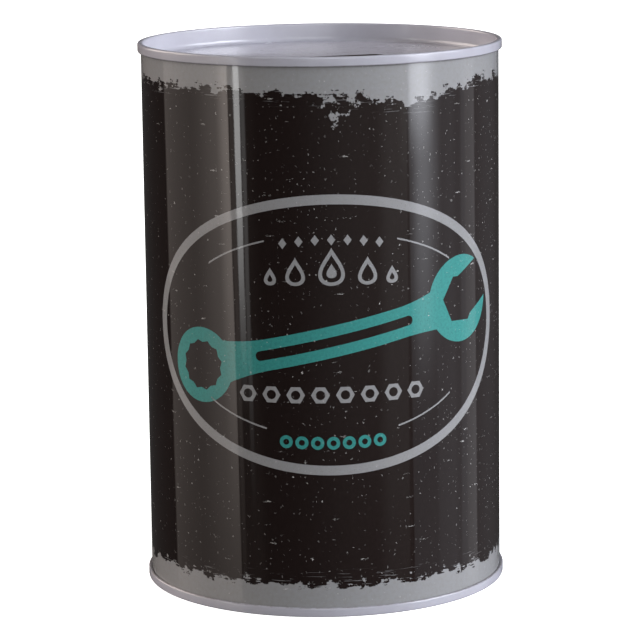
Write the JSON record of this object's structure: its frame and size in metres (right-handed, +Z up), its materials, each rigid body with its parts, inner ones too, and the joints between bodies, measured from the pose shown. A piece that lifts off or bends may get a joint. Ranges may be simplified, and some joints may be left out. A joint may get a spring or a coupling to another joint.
{
  "type": "oil can money tin",
  "caption": "Sealed cylindrical tin with a printed rolled body, recessed double-seamed ends and a coin slot in the top.",
  "frame": {"origin": "centre of the base, in the plane that the bottom seam stands on", "axes": "+Z up along the can's axis, -Y out of the printed front, so the body's side weld is at +Y"},
  "size_m": [0.1, 0.1, 0.15],
  "materials": {
    "printed_body": "gloss lacquer over a worn black print with silver-grey bands",
    "top_end_enamel": "gloss pale lilac-grey enamel",
    "bottom_end_enamel": "gloss pale lilac-grey enamel",
    "top_compound": "matt sealing compound",
    "bottom_compound": "matt sealing compound"
  },
  "bodies": {
    "root": {"body_shell": "printed_body", "top_end": "top_end_enamel", "bottom_end": "bottom_end_enamel", "top_seam_compound": "top_compound", "bottom_seam_compound": "bottom_compound"}
  },
  "joints": []
}
